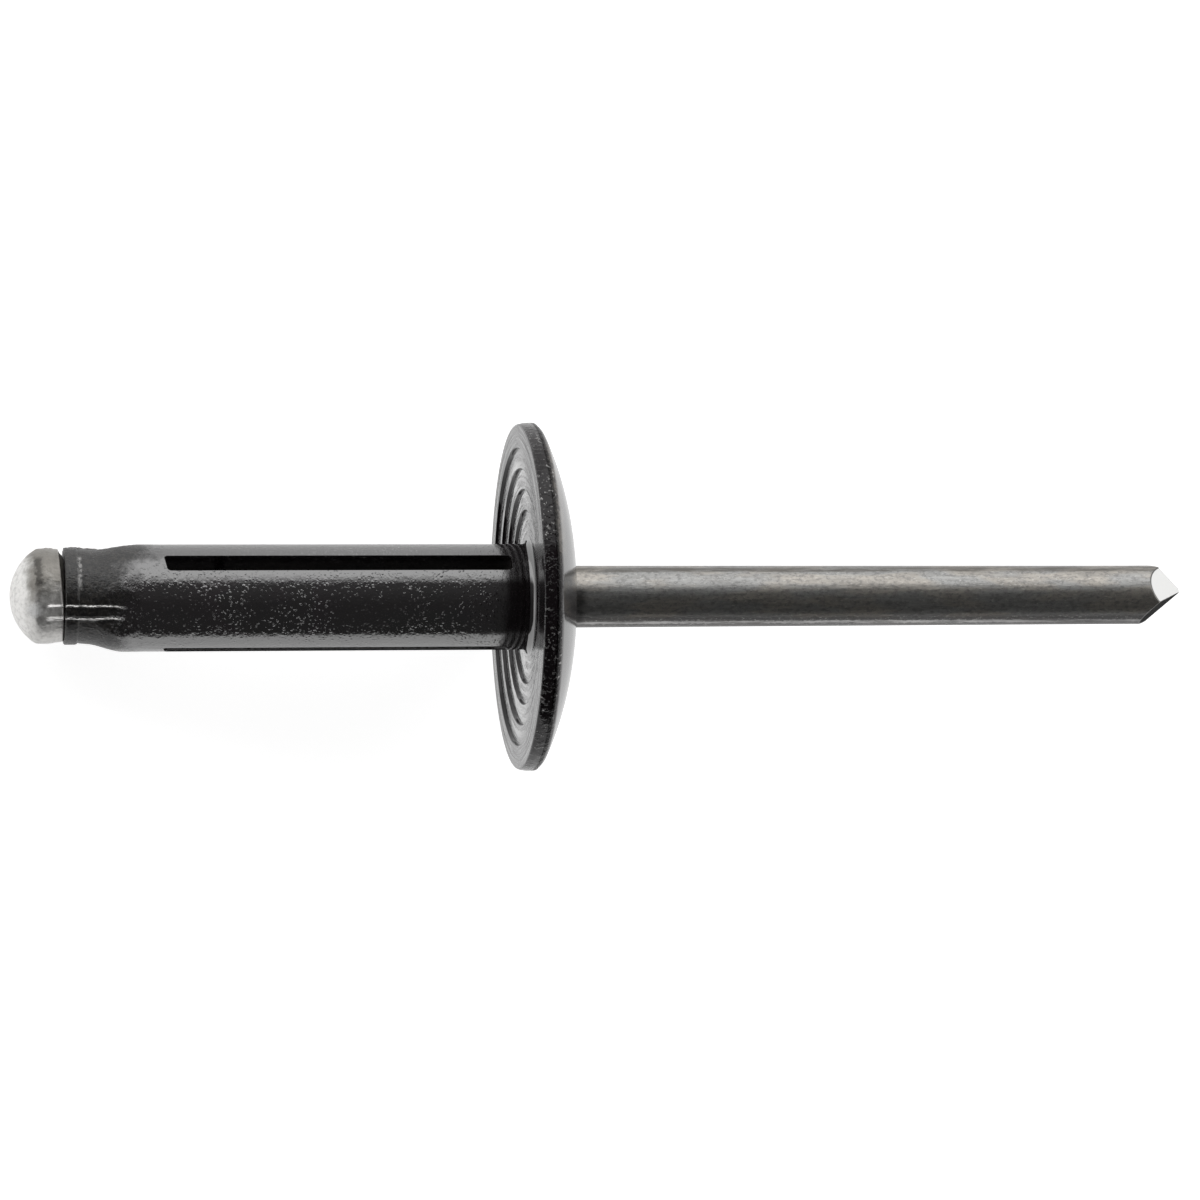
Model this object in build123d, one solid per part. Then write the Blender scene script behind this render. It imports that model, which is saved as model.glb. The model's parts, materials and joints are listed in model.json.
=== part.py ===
from build123d import *
from math import acos, asin, atan2, cos, degrees, hypot, radians, sin, sqrt, tan
import os

# Split blind rivet with a large flange, in millimetres: a slotted shell and the mandrel crimped in it.
# Both are drawn along +X, with the origin on the axis in the plane of the flange's seat: the shank and
# the mandrel's head run to -X, the dome and the mandrel's tail to +X. Angles about the axis start at
# +Z and grow towards +Y. Last of all the rivet is laid down, on the flange's rim and the head.

# --- Shell: shank ------------------------------------------------------------------------------------
shank_diameter = 4.86
shell_length = 20.7            # seat plane to the end that carries the mandrel's head
bore_clearance = 0.05          # all round the mandrel

# --- Shell: swaged neck at the head end --------------------------------------------------------------
neck_diameter = 4.28
lip_diameter = 4.40
lip_length = 0.45
lip_step = 0.30                # length over which the lip drops to the neck
lip_chamfer = 0.08
neck_length = 0.30
shoulder_length = 1.60         # length over which the neck swells to the full shank

# --- Shell: slots ------------------------------------------------------------------------------------
slot_count = 3
slot_width = 0.76
slot_land = 0.46               # solid shank left between the slots and the seat plane
slot_length = 15.74
slot_end_rounding = 0.37        # at the flange, nearly half of the width
slot_neck_rounding = 0.14
slot_angle = 42.2              # middle of the first slot

# --- Shell: flange -----------------------------------------------------------------------------------
flange_diameter = 16.0
rim_thickness = 0.80
seat_bevel = 0.08              # how far the seat's edge stops short of the rim
bevel_height = 0.30            # how far the bevel climbs the rim
dome_rounding = 0.28
crown_height = 2.46            # seat plane to the top of the dome
crown_arc_radius = 25.0        # flatter middle of the dome
crown_reach = 3.50             # radius at which the middle passes into the steeper outer dome
root_cone = 0.20               # leg of the cone between the shank and the underside

# --- Shell: dished underside with its rings ----------------------------------------------------------
land_inner_radius = 6.85       # the flat seat lies outside this
dish_depth = 0.62
ring_count = 4
ring_pitch = 0.95
ring_depth = 0.10
ring_wall = 0.04               # radial width of each ring's steep wall

# --- Crimp: three jaws press flats on the neck, and a blade in each locks shell and head together -----
jaw_depth = 0.03               # flats below the neck's surface
jaw_length = 1.60              # flat part, from the shell's end
jaw_radius = 6.0               # run-out of each flat into the shank
ridge_spacing = 0.60
ridge_width = 0.13
ridge_height = 0.07            # above the flat
ridge_rounding = 0.045         # along the top edges
ridge_root = 0.14              # how far a ridge's foot lies below the neck's surface
blade_depth = 0.05             # strip between the ridges below the flat
blade_reach = 0.87             # length of the crimp on the mandrel's head
blade_length = 3.20            # length of the crimp on the shell

# --- Mandrel -----------------------------------------------------------------------------------------
mandrel_diameter = 2.78
tail_reach = 31.7              # seat plane to the mandrel's point
head_diameter = 4.30
head_length = 2.43
head_dome_radius = 2.55
head_blend_radius = 0.50
head_chamfer = 0.35            # between the head's side and its seat on the shell
notch_distance = 7.0           # head's seat to the break notch
notch_diameter = 2.05
notch_angle = 70.0
point_sides = 4
point_half_angle = 36.0
point_flat = 0.16
point_angle = 23.0             # middle of the first facet

# --- Sizes worked out from these ---------------------------------------------------------------------
shank_radius = shank_diameter / 2
neck_radius = neck_diameter / 2
lip_radius = lip_diameter / 2
mandrel_radius = mandrel_diameter / 2
head_radius = head_diameter / 2
bore_radius = mandrel_radius + bore_clearance
rim_radius = flange_diameter / 2
shell_end = -shell_length
flat_distance = neck_radius - jaw_depth
crimp_angles = [slot_angle - 180 / slot_count + i * 360 / slot_count for i in range(slot_count)]
slot_angles = [slot_angle + i * 360 / slot_count for i in range(slot_count)]
past = 1.0                     # how far cutting solids run past what they cut


def radial_plane(angle, x=0.0, out=0.0):
    """Plane facing outwards at an angle about the axis, its own X along the rivet."""
    outward = Vector(0, sin(radians(angle)), cos(radians(angle)))
    return Plane(origin=Vector(x, 0, 0) + outward * out, x_dir=(1, 0, 0), z_dir=outward)


def s_curve(start, end):
    """Two equal arcs that leave and arrive along the axis."""
    middle = ((start[0] + end[0]) / 2, (start[1] + end[1]) / 2)
    first = TangentArc(start, middle, tangent=(1, 0))
    return [first, TangentArc(middle, end, tangent=first % 1)]


def dish(radius):
    """Depth of the flange's dished underside, which runs out at the seat."""
    return dish_depth * (1 - (radius / land_inner_radius) ** 2)


def neck_edges():
    """Outline from the bore's mouth over the lip and the neck to the full shank."""
    lip_end = shell_end + lip_length
    neck_start = lip_end + lip_step
    neck_end = neck_start + neck_length
    lip = Polyline(
        (shell_end, bore_radius),
        (shell_end, lip_radius - lip_chamfer),
        (shell_end + lip_chamfer, lip_radius),
        (lip_end, lip_radius),
        (neck_start, neck_radius),
        (neck_end, neck_radius),
    )
    return [lip, *s_curve((neck_end, neck_radius), (neck_end + shoulder_length, shank_radius))]


def underside_edge():
    """Outline from the shank over the ringed dish and the flat seat to the rim."""
    shank_start = shell_end + lip_length + lip_step + neck_length + shoulder_length
    root = shank_radius + root_cone
    points = [(shank_start, shank_radius), (dish(root) - root_cone, shank_radius), (dish(root), root)]
    for i in reversed(range(ring_count)):
        crest = land_inner_radius - i * ring_pitch
        groove = crest - ring_wall
        points += [(dish(groove) + ring_depth, groove), (dish(crest), crest)]
    points += [(0, rim_radius - seat_bevel), (bevel_height, rim_radius), (rim_thickness, rim_radius)]
    return Polyline(*points)


def dome_edges():
    """Outline from the rim over the dome to the bore: a flat middle arc and a steeper outer one."""
    centre = crown_height - crown_arc_radius
    turn = asin(crown_reach / crown_arc_radius)
    join = (centre + crown_arc_radius * cos(turn), crown_reach)
    mouth = (centre + sqrt(crown_arc_radius ** 2 - bore_radius ** 2), bore_radius)
    return [
        TangentArc(join, (rim_thickness, rim_radius), tangent=(-sin(turn), cos(turn))),
        RadiusArc(join, mouth, crown_arc_radius),
    ], mouth


def turned(section):
    """Body of revolution about the rivet's axis, its seam on top and clear of the crimps."""
    return Rot(90, 0, 0) * revolve(section, Axis.X)


def turned_shell():
    """Shell as a body of revolution, before slots and crimps."""
    dome, mouth = dome_edges()
    bore = Line(mouth, (shell_end, bore_radius))
    outline = [*neck_edges(), underside_edge(), *dome, bore]
    section = make_face(Wire([edge for curve in outline for edge in curve.edges()]))
    rim_corner = section.vertices().sort_by_distance((rim_thickness, rim_radius))[0]
    return turned(fillet(rim_corner, dome_rounding))


def slot_cutter(angle):
    """One slot right through the wall, round at the flange and nearly square at the neck."""
    outline = Rectangle(slot_length, slot_width, align=(Align.MAX, Align.CENTER))
    outline = fillet(outline.vertices().group_by(Axis.X)[0], slot_neck_rounding)
    outline = fillet(outline.vertices().group_by(Axis.X)[-1], slot_end_rounding)
    return extrude(radial_plane(angle, -slot_land) * outline, shank_radius + past)


def jaw_cutter(angle):
    """What one jaw takes off the neck: a flat that runs out into the shank on a wide arc."""
    top = shank_radius + past
    turn = degrees(acos(1 - (top - flat_distance) / jaw_radius))
    flat_end = (shell_end + jaw_length, flat_distance)
    run_out = JernArc(start=flat_end, tangent=(1, 0), radius=jaw_radius, arc_size=turn)
    back = Polyline(run_out @ 1, (shell_end - past, top), (shell_end - past, flat_distance), flat_end)
    side = Plane(origin=(0, 0, 0), x_dir=(1, 0, 0), z_dir=radial_plane(angle).y_dir * -1)
    return extrude(side * make_face(Wire([*run_out.edges(), *back.edges()])), shank_radius, both=True)


def ridge(angle, side, start, length, foot):
    """One ridge that the blade raises beside its strip, standing on a foot below the surface."""
    height = flat_distance + ridge_height - foot
    bar = Rectangle(length, ridge_width, align=(Align.MIN, Align.CENTER))
    place = radial_plane(angle, start, foot) * Pos(0, side * ridge_spacing / 2, 0)
    solid = extrude(place * bar, height)
    above = radial_plane(angle, start + length / 2, shank_diameter).origin
    top = solid.faces().sort_by_distance(above)[0]
    return fillet(top.edges().filter_by(Axis.X), ridge_rounding)


def blade_strip(angle, start, length):
    """The strip that the blade presses between its two ridges."""
    bar = Rectangle(length, ridge_spacing - ridge_width, align=(Align.MIN, Align.CENTER))
    return extrude(radial_plane(angle, start, flat_distance - blade_depth) * bar, past)


def make_shell():
    """Slotted and crimped shell, one piece with its flange."""
    shell = turned_shell()
    for angle in slot_angles:
        shell -= slot_cutter(angle)
    for angle in crimp_angles:
        shell -= jaw_cutter(angle)
    foot = neck_radius - ridge_root
    for angle in crimp_angles:
        for side in (-1, 1):
            shell += ridge(angle, side, shell_end, blade_length, foot)
        shell -= blade_strip(angle, shell_end - past, jaw_length + past)
    return shell


def head_section():
    """Half outline of the mandrel's domed head, from its tip to its seat on the shell."""
    tip = shell_end - head_length
    centre = tip + head_dome_radius
    edge = centre - sqrt(head_dome_radius ** 2 - head_radius ** 2)
    dome = RadiusArc((tip, 0), (edge, head_radius), head_dome_radius)
    side = Polyline(
        (edge, head_radius),
        (shell_end - head_chamfer, head_radius),
        (shell_end, head_radius - head_chamfer),
        (shell_end, 0),
        (tip, 0),
    )
    section = make_face(Wire([*dome.edges(), *side.edges()]))
    corner = section.vertices().sort_by_distance((edge, head_radius))[0]
    return fillet(corner, head_blend_radius)


def break_notch():
    """Ring that the groove cuts from the mandrel where it is meant to break."""
    depth = (mandrel_diameter - notch_diameter) / 2
    half_width = depth * tan(radians(notch_angle / 2))
    x = shell_end + notch_distance
    groove = Polyline(
        (x - half_width, mandrel_radius),
        (x, notch_diameter / 2),
        (x + half_width, mandrel_radius),
        (x + half_width, mandrel_radius + past),
        (x - half_width, mandrel_radius + past),
        close=True,
    )
    return revolve(make_face(groove), Axis.X)


def mandrel_point():
    """Tail end, nipped to a point by flat facets."""
    facet_slope = tan(radians(point_half_angle))
    length = mandrel_diameter / facet_slope
    start = tail_reach - length
    across = point_flat + 2 * length * facet_slope
    base = Plane(origin=(start, 0, 0), x_dir=(0, 0, 1), z_dir=(1, 0, 0))
    turn = Rot(0, 0, 180 / point_sides - point_angle)
    facets = turn * RegularPolygon(across / 2, point_sides, major_radius=False)
    spike = extrude(base * facets, length, taper=point_half_angle)
    return spike & extrude(base * Circle(mandrel_radius), length), start


def make_mandrel():
    """Mandrel in one piece: head, shank with its break notch, and pointed tail."""
    point, point_start = mandrel_point()
    seat = Plane(origin=(shell_end, 0, 0), z_dir=(1, 0, 0))
    shank = extrude(seat * Circle(mandrel_radius), point_start - shell_end)
    mandrel = turned(head_section()) + shank + point - break_notch()
    start = shell_end - blade_reach
    foot = head_radius - head_chamfer
    for angle in crimp_angles:
        for side in (-1, 1):
            mandrel += ridge(angle, side, start, blade_reach, foot)
        mandrel -= blade_strip(angle, start, blade_reach + past)
    return mandrel


def lying_angle():
    """Slope of the axis when the rivet lies on its seat's edge and on the rounding of its head."""
    rim = (0, rim_radius - seat_bevel)
    dome_centre = shell_end - head_length + head_dome_radius
    blend_radius = head_radius - head_blend_radius
    reach = sqrt((head_dome_radius - head_blend_radius) ** 2 - blend_radius ** 2)
    head = (dome_centre - reach, blend_radius)
    along, across = rim[0] - head[0], rim[1] - head[1]
    return degrees(atan2(across, along) - asin(head_blend_radius / hypot(along, across)))


os.makedirs("parts", exist_ok=True)
lying = Rot(0, -lying_angle(), 0)
for name, solid in {"rivet_shell": make_shell(), "mandrel": make_mandrel()}.items():
    export_step(lying * solid, f"parts/{name}.step")
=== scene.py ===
import json
import math
from functools import reduce
from types import SimpleNamespace

import bpy
import numpy as np
from mathutils import Matrix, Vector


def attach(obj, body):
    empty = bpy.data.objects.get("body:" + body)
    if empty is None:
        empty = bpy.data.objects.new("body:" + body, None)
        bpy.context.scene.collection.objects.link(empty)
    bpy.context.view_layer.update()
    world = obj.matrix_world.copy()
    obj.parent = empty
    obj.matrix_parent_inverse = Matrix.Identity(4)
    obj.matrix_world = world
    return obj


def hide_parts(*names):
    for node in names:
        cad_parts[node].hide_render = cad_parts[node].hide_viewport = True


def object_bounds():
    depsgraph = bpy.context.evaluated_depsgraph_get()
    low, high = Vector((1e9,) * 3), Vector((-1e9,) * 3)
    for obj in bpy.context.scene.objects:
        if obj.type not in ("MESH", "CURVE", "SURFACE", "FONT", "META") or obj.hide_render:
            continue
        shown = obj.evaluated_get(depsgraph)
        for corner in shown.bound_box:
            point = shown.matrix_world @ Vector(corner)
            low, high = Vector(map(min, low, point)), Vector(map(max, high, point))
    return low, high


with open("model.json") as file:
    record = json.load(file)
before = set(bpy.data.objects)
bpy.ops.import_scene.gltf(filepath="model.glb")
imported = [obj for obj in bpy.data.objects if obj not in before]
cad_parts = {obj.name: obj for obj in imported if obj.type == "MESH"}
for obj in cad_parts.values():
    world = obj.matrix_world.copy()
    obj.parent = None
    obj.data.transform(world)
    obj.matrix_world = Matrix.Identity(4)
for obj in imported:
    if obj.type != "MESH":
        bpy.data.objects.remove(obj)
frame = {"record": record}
cad_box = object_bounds()

# Split blind rivet. All sizes are in millimetres and become metres where a mesh is made.
# Points are worked out in the rivet's own terms: s runs along the axis from the plane of the flange's
# seat, negative towards the head and positive towards the tail, and angles about the axis start at the
# upper side and grow towards +Y. The record's shank mount says where that axis lies in the frame.
MM = 0.001
record = frame["record"]
shank_mount = next(m for m in record["mounts"] if m["name"] == "shank")
ORIGIN = np.array(shank_mount["pos_m"], float) / MM
AXIS = -np.array(shank_mount["axis"], float)
SIDE = np.array([0.0, 1.0, 0.0])
UP = np.cross(AXIS, SIDE)
LYING = math.atan2(AXIS[2], AXIS[0])

# --- Sizes of the shell ---
SHANK_R = 2.43
BORE_R = 1.44
SHELL_END = -20.7
LIP_R = 2.20
LIP_EDGE = 0.08
LIP_LENGTH = 0.45
LIP_STEP = 0.30
LIP_GROOVE = 0.03              # a fine groove runs round behind the lip
END_SHIFT = 0.10                # how far the shell's end and the head sit to one side
NECK_R = 2.14
NECK_LENGTH = 0.38
SHOULDER = 1.60
SLOT_COUNT = 3
SLOT_PITCH = 360 / SLOT_COUNT
SLOT_HALF = 0.43
SLOT_START = -16.2
SLOT_END = -0.32
SLOT_CORNER = 0.14
SLOT_EDGE = 0.035              # rounding of the slots' edges
SLOT_ANGLE = 40.9
SLOT_SLANT = 0.17              # a slot's start is cut aslant: this much along for each part across
FLANGE_R = 7.998
RIM = 0.80
SEAT_BEVEL = 0.08
BEVEL_HEIGHT = 0.30
DOME_EDGE = 0.42
CROWN = 2.46
CROWN_ARC = 25.0
CROWN_REACH = 3.5
ROOT_FILLET = 0.30
LAND_R = 6.85
DISH = 0.62
RINGS = 4
RING_PITCH = 0.95
RING_DEPTH = 0.125
RING_WALL = 0.04

# --- Sizes of the crimps ---
CRIMP_ANGLE = -17.8
FLAT = 2.11                    # distance of the jaws' flats from the axis
JAW_LENGTH = 1.60
JAW_RADIUS = 6.0
RIDGE_SPACING = 0.60
RIDGE_HALF = 0.075
RIDGE_HEIGHT = 0.07
BLADE_DEPTH = 0.05
BLADE_ON_HEAD = 0.87
RIDGE_FADES = 2.20             # how far up the shell the ridges begin to run out
RIDGE_ENDS = 3.00
JAW_WITHIN = math.radians(60)  # how far round from its middle a jaw can press
RIDGE_WITHIN = math.radians(40)

# --- Sizes of the mandrel ---
WIRE_R = 1.381
ROOT_R = 1.43                  # the wire is a little thicker where it leaves the dome
TIP = 31.7
HEAD_R = 2.148
HEAD_LENGTH = 2.40
HEAD_DOME = 2.55
HEAD_BLEND = 0.50
HEAD_FLAT = 14.18              # how far out along its own direction the dome's flat lies
HEAD_SEAT = 0.12
NOTCH_AT = SHELL_END + 7.0
NOTCH_R = 1.025
NOTCH_HALF = 0.256
HEAD_LEAN = 0.20               # how far the edge of the head stands off the shell on one side
POINT_HALF_ANGLE = math.radians(34.5)
POINT_FLAT = 0.08
POINT_SHIFT = 0.17             # the nipped point lies this far to one side
POINT_ANGLE = 23.0
POINT_LEAD = 4.0               # the stretch of wire before the tip that leads up to the point
# the rough facet is also darkened as painted shade
DULL_SHADED_FACET = 3                 # which of the four facets is rough and dark

# --- Colours ---
PAINT_BLACK = (0.0072, 0.0046, 0.0058, 1)
SCUFF_DARK = (0.004, 0.0036, 0.0036, 1)
SCUFF_LIGHT = (0.034, 0.030, 0.026, 1)
SPECK = (0.060, 0.056, 0.058, 1)
DUST = (0.150, 0.135, 0.118, 1)
# colour of the metal under the paint, also used for the painted highlight behind the lip
UNDER_PAINT_AND_HIGHLIGHT = (0.66, 0.65, 0.64, 1)
WIRE_COLD = (0.368, 0.368, 0.362, 1)
WIRE_WARM = (0.420, 0.394, 0.358, 1)
WIRE_STREAK = (0.22, 0.215, 0.205, 1)
WIRE_MOTTLE = (0.165, 0.162, 0.160, 1)
# painted shade on the wire's -Y side, and a painted highlight line there
WIRE_SHADED_SIDE = (0.058, 0.057, 0.058, 1)
WIRE_FLECK = (0.66, 0.65, 0.62, 1)
WIRE_HIGHLIGHT_LINE = (0.45, 0.445, 0.44, 1)
WIRE_BROWN = (0.12, 0.112, 0.100, 1)
# painted light and shade of the head: shaded towards +Y, lit towards -Y and at the front
HEAD_SHADED = (0.27, 0.257, 0.235, 1)
HEAD_LIT = (0.72, 0.71, 0.69, 1)
HEAD_FRONT_LIT = (0.95, 0.94, 0.92, 1)
# painted highlight on the head
HEAD_HIGHLIGHT = (0.97, 0.97, 0.96, 1)
HEAD_GRIME = (0.12, 0.115, 0.105, 1)
HEAD_RING = (0.05, 0.047, 0.043, 1)
# painted shade on the wire inside the shell's bore
BORE_SHADE = (0.02, 0.02, 0.02, 1)
PRESSED_BRIGHT = (0.85, 0.84, 0.83, 1)
# painted dark reflection at the wire's foot, and darkening on its -Y side near the tail
WIRE_DARKENED = (0.035, 0.034, 0.034, 1)
# colour of the rough facet, darkened as painted shade
CUT_ROUGH_SHADED = (0.10, 0.10, 0.10, 1)
CUT_FRESH = (0.74, 0.74, 0.73, 1)

# --- Floor and camera ---
FLOOR_HALF = 1.5               # metres
FLOOR_LIFT = 0.82              # glow that whitens the floor for the camera
VIEW_TILT = math.radians(10.22)    # from straight across the axis, towards the head
ROLL = math.radians(0.2)           # the photograph is turned this little
DISTANCE = 193.1
LENS = 126.0
SENSOR = 36.0
NEAR_CLIP = 0.01               # metres
# The camera faces this place on the axis, and is then moved level and aside without turning.
AIM_ALONG = 0.34
MOVED_LEVEL = 3.503
MOVED_ASIDE = -0.16

CRIMPS = [CRIMP_ANGLE + i * SLOT_PITCH for i in range(SLOT_COUNT)]
SLOTS = [SLOT_ANGLE + i * SLOT_PITCH for i in range(SLOT_COUNT)]
# How far from a crimp's middle the columns of a mesh lie, closest together on the ridge.
BESIDE_CRIMP = np.array([0.08, 0.16, 0.20, 0.235, 0.26, 0.28, 0.30, 0.32, 0.34, 0.365, 0.40, 0.46, 0.55])


def grey(value):
    """Even grey as a node's colour."""
    return value, value, value, 1


def smooth(x, low, high):
    """0 below low, 1 above high, and an even curve between."""
    t = np.clip((x - low) / (high - low), 0, 1)
    return t * t * (3 - 2 * t)


def spread(*parts):
    """Values from several (start, end, count) stretches, each without its end, and the last end added."""
    rows = [np.linspace(a, b, n, endpoint=False) for a, b, n in parts]
    return np.concatenate(rows + [[parts[-1][1]]])


def from_crimp(angle):
    """Angle in radians to the nearest crimp."""
    a = np.radians(np.asarray(angle)[..., None] - np.array(CRIMPS))
    a = (a + np.pi) % (2 * np.pi) - np.pi
    nearest = np.abs(a).argmin(-1)
    return np.take_along_axis(a, nearest[..., None], -1)[..., 0], nearest


def end_shift(s):
    """How far the shell's end and the head sit to one side."""
    return END_SHIFT * (1 - smooth(s, SHELL_END + 0.5, SHELL_END + 2.0))


def placed(s, angle, radius):
    """Points of the rivet in metres, from their place along and about the axis."""
    a = np.radians(angle)
    out = np.sin(a)[..., None] * SIDE + np.cos(a)[..., None] * UP
    aside = end_shift(s)
    return (ORIGIN + s[..., None] * AXIS + radius[..., None] * out + aside[..., None] * SIDE) * MM


def mesh_object(name, points, faces, material, crease=35.0):
    """Mesh object from points and faces, shaded smooth but for edges sharper than crease degrees."""
    mesh = bpy.data.meshes.new(name)
    mesh.from_pydata(points.tolist(), [], [list(map(int, f)) for f in faces])
    mesh.materials.append(material)
    mesh.validate()
    mesh.polygons.foreach_set("use_smooth", [True] * len(mesh.polygons))
    mesh.set_sharp_from_angle(angle=math.radians(crease))
    obj = bpy.data.objects.new(name, mesh)
    bpy.context.scene.collection.objects.link(obj)
    return obj


class Points:
    """Points of a mesh with a value for each, gathered stretch by stretch."""

    def __init__(self):
        self.places = []
        self.values = []
        self.count = 0

    def add(self, places, value=0.0):
        """Takes in some points and gives their numbers in the same layout."""
        numbers = self.count + np.arange(places.size // 3).reshape(places.shape[:-1])
        self.places.append(places.reshape(-1, 3))
        self.values.append(np.broadcast_to(value, places.shape[:-1]).reshape(-1))
        self.count += numbers.size
        return numbers


def strip_faces(ring, next_ring):
    """Quads between two closed rings of points."""
    return np.stack([ring, next_ring, np.roll(next_ring, -1), np.roll(ring, -1)], -1)


def tube_faces(rows, columns, closed=False):
    """Quads of a grid that closes round its columns, and round its rows too if closed."""
    j = np.arange(rows if closed else rows - 1)[:, None]
    i = np.arange(columns)[None, :]
    k = (j + 1) % rows
    n = (i + 1) % columns
    quads = np.stack([j * columns + i, j * columns + n, k * columns + n, k * columns + i], -1)
    return quads


def filleted(corners, radii, steps=6):
    """Outline through the corners, each rounded to its radius with so many steps."""
    pts = [np.array(c, float) for c in corners]
    out = [pts[0]]
    for before, corner, after, radius in zip(pts, pts[1:], pts[2:], radii):
        if radius == 0:
            out.append(corner)
            continue
        u = (before - corner) / np.linalg.norm(before - corner)
        v = (after - corner) / np.linalg.norm(after - corner)
        half = math.acos(np.clip(u @ v, -1, 1)) / 2
        middle = corner + (u + v) / np.linalg.norm(u + v) * radius / math.sin(half)
        start = corner + u * radius / math.tan(half)
        end = corner + v * radius / math.tan(half)
        a, b = start - middle, end - middle
        turn = math.acos(np.clip(a @ b / radius ** 2, -1, 1))
        for t in np.linspace(0, 1, steps + 1):
            out.append(middle + (math.sin((1 - t) * turn) * a + math.sin(t * turn) * b) / math.sin(turn))
    out.append(pts[-1])
    return np.array(out)


def resampled(outline, longest):
    """The same outline with no stretch longer than given."""
    rows = [outline[:1]]
    for a, b in zip(outline, outline[1:]):
        n = max(1, math.ceil(np.linalg.norm(b - a) / longest))
        rows.append(a + (b - a) * (np.arange(1, n + 1) / n)[:, None])
    return np.concatenate(rows)


# --- Shell: tube with its neck, crimps and slots ---
def tube_radius(s):
    """Turned outside of the tube: lip, neck, shoulder and shank."""
    lip_end = SHELL_END + LIP_LENGTH
    neck_end = lip_end + LIP_STEP + NECK_LENGTH
    lip = (LIP_R - NECK_R) * (1 - smooth(s, lip_end + 0.06, lip_end + LIP_STEP - 0.06))
    lip = lip - LIP_GROOVE * np.exp(-(((s - lip_end - 0.19) / 0.05) ** 2))
    return NECK_R + lip + (SHANK_R - NECK_R) * smooth(s, neck_end, neck_end + SHOULDER)


def crimped(s, angle, radius, reach, base):
    """Radius after the jaws, flats with a sunk strip between two ridges, and how bright the ridges are."""
    off, which = from_crimp(angle)
    run = np.clip(s - SHELL_END - JAW_LENGTH, 0, JAW_RADIUS * 0.9)
    flat = base + JAW_RADIUS - np.sqrt(JAW_RADIUS ** 2 - run ** 2)
    height = radius * np.cos(off)
    sunk = np.minimum(height, flat)
    across = radius * np.sin(off)
    wander = 0.014 * np.sin(4.1 * s + 2 * which) + 0.009 * np.sin(9.3 * s + 1 + which) + end_shift(s)
    ridge = np.exp(-(((np.abs(across + wander) - RIDGE_SPACING / 2) / (0.70 * RIDGE_HALF)) ** 2))
    uneven = 1 + 0.26 * np.sin(7.7 * s + 1.3 * np.sign(across) + which)
    uneven = uneven + 0.20 * np.sin(17.0 * s + 2 * which)
    inner_foot = RIDGE_SPACING / 2 - RIDGE_HALF * 1.4
    strip = 1 - smooth(np.abs(across + wander), inner_foot, RIDGE_SPACING / 2 - RIDGE_HALF * 0.5)
    near = (np.abs(off) < RIDGE_WITHIN) * reach
    sunk = sunk + near * (RIDGE_HEIGHT * ridge * uneven - BLADE_DEPTH * strip)
    return np.where(np.abs(off) < JAW_WITHIN, sunk / np.cos(off), radius), near * ridge


def bore_radius(s):
    """Plain bore through the tube."""
    return np.full_like(np.asarray(s, float), BORE_R)


def tube_columns():
    """Columns of the tube about one slot: offsets across it, and shares of the way on to the next slot."""
    across = SLOT_HALF * np.sin(np.radians(np.linspace(-90, 90, 13)))
    edge = math.degrees(math.asin(SLOT_HALF / SHANK_R))
    crimp = (CRIMP_ANGLE - SLOT_ANGLE) % SLOT_PITCH
    fine = np.degrees(BESIDE_CRIMP / NECK_R)

    def up_to_crimp(room):
        """Angles from a slot's middle to the first fine column of a crimp that lies that far away."""
        between = np.linspace(edge + 7, room - fine[-1], 9, endpoint=False)
        return np.concatenate([[edge + 1.8, edge + 3.6], between])

    before = up_to_crimp(crimp)
    after = SLOT_PITCH - up_to_crimp(SLOT_PITCH - crimp)[::-1]
    web = np.concatenate([before, crimp - fine[::-1], [crimp], crimp + fine, after])
    return across, (web - edge) / (SLOT_PITCH - 2 * edge)


def tube_rows():
    """Rows of the tube from its end to inside the flange, and which of them bound the slots."""
    start = SLOT_START + SLOT_CORNER
    end = SLOT_END - SLOT_HALF
    before = spread((SHELL_END + LIP_EDGE, SHELL_END + 3.7, 84), (SHELL_END + 3.7, start, 16))
    along = np.linspace(start, end, 64)[1:]
    after = spread((end, end + 0.7, 9), (end + 0.7, 0.75, 6))[1:]
    return np.concatenate([before, along, after]), len(before) - 1, len(before) + len(along) - 1


def slot_place(s, across, first, last):
    """Where each row crosses a slot's columns: bowed round the slot's ends, and straight away from them."""
    j = np.arange(len(s))[:, None]
    y = np.abs(across)[None, :]
    past_corner = np.clip(y - SLOT_HALF + SLOT_CORNER, 0, None)
    corner = np.sqrt(np.clip(SLOT_CORNER ** 2 - past_corner ** 2, 0, None))
    bow = np.sqrt(np.clip(SLOT_HALF ** 2 - y ** 2, 0, None))
    to_start = np.clip(1 - (first - j) / 8, 0, 1) * (j <= first)
    to_end = np.clip(1 - (j - last) / 11, 0, 1) * (j >= last)
    slant = -SLOT_SLANT * across[None, :] * to_start
    return s[:, None] - corner * to_start + bow * to_end + slant


def moved_back(in_slot, across, first, last, shift):
    """Places along and across a slot's columns, with the slot's edge moved back for its rounding."""
    x = in_slot.copy()
    y = np.broadcast_to(across, in_slot.shape).copy()
    ends = np.radians(np.linspace(-90, 90, len(across)))
    y[first:last + 1, 0] -= shift
    y[first:last + 1, -1] += shift
    y[last] = across + shift * np.sin(ends)
    x[last] += shift * np.cos(ends)
    y[first, 1:-1] = across[1:-1] * (1 + shift / SLOT_HALF)
    x[first] -= shift * np.cos(ends) ** 0.5
    return x, y


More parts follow.
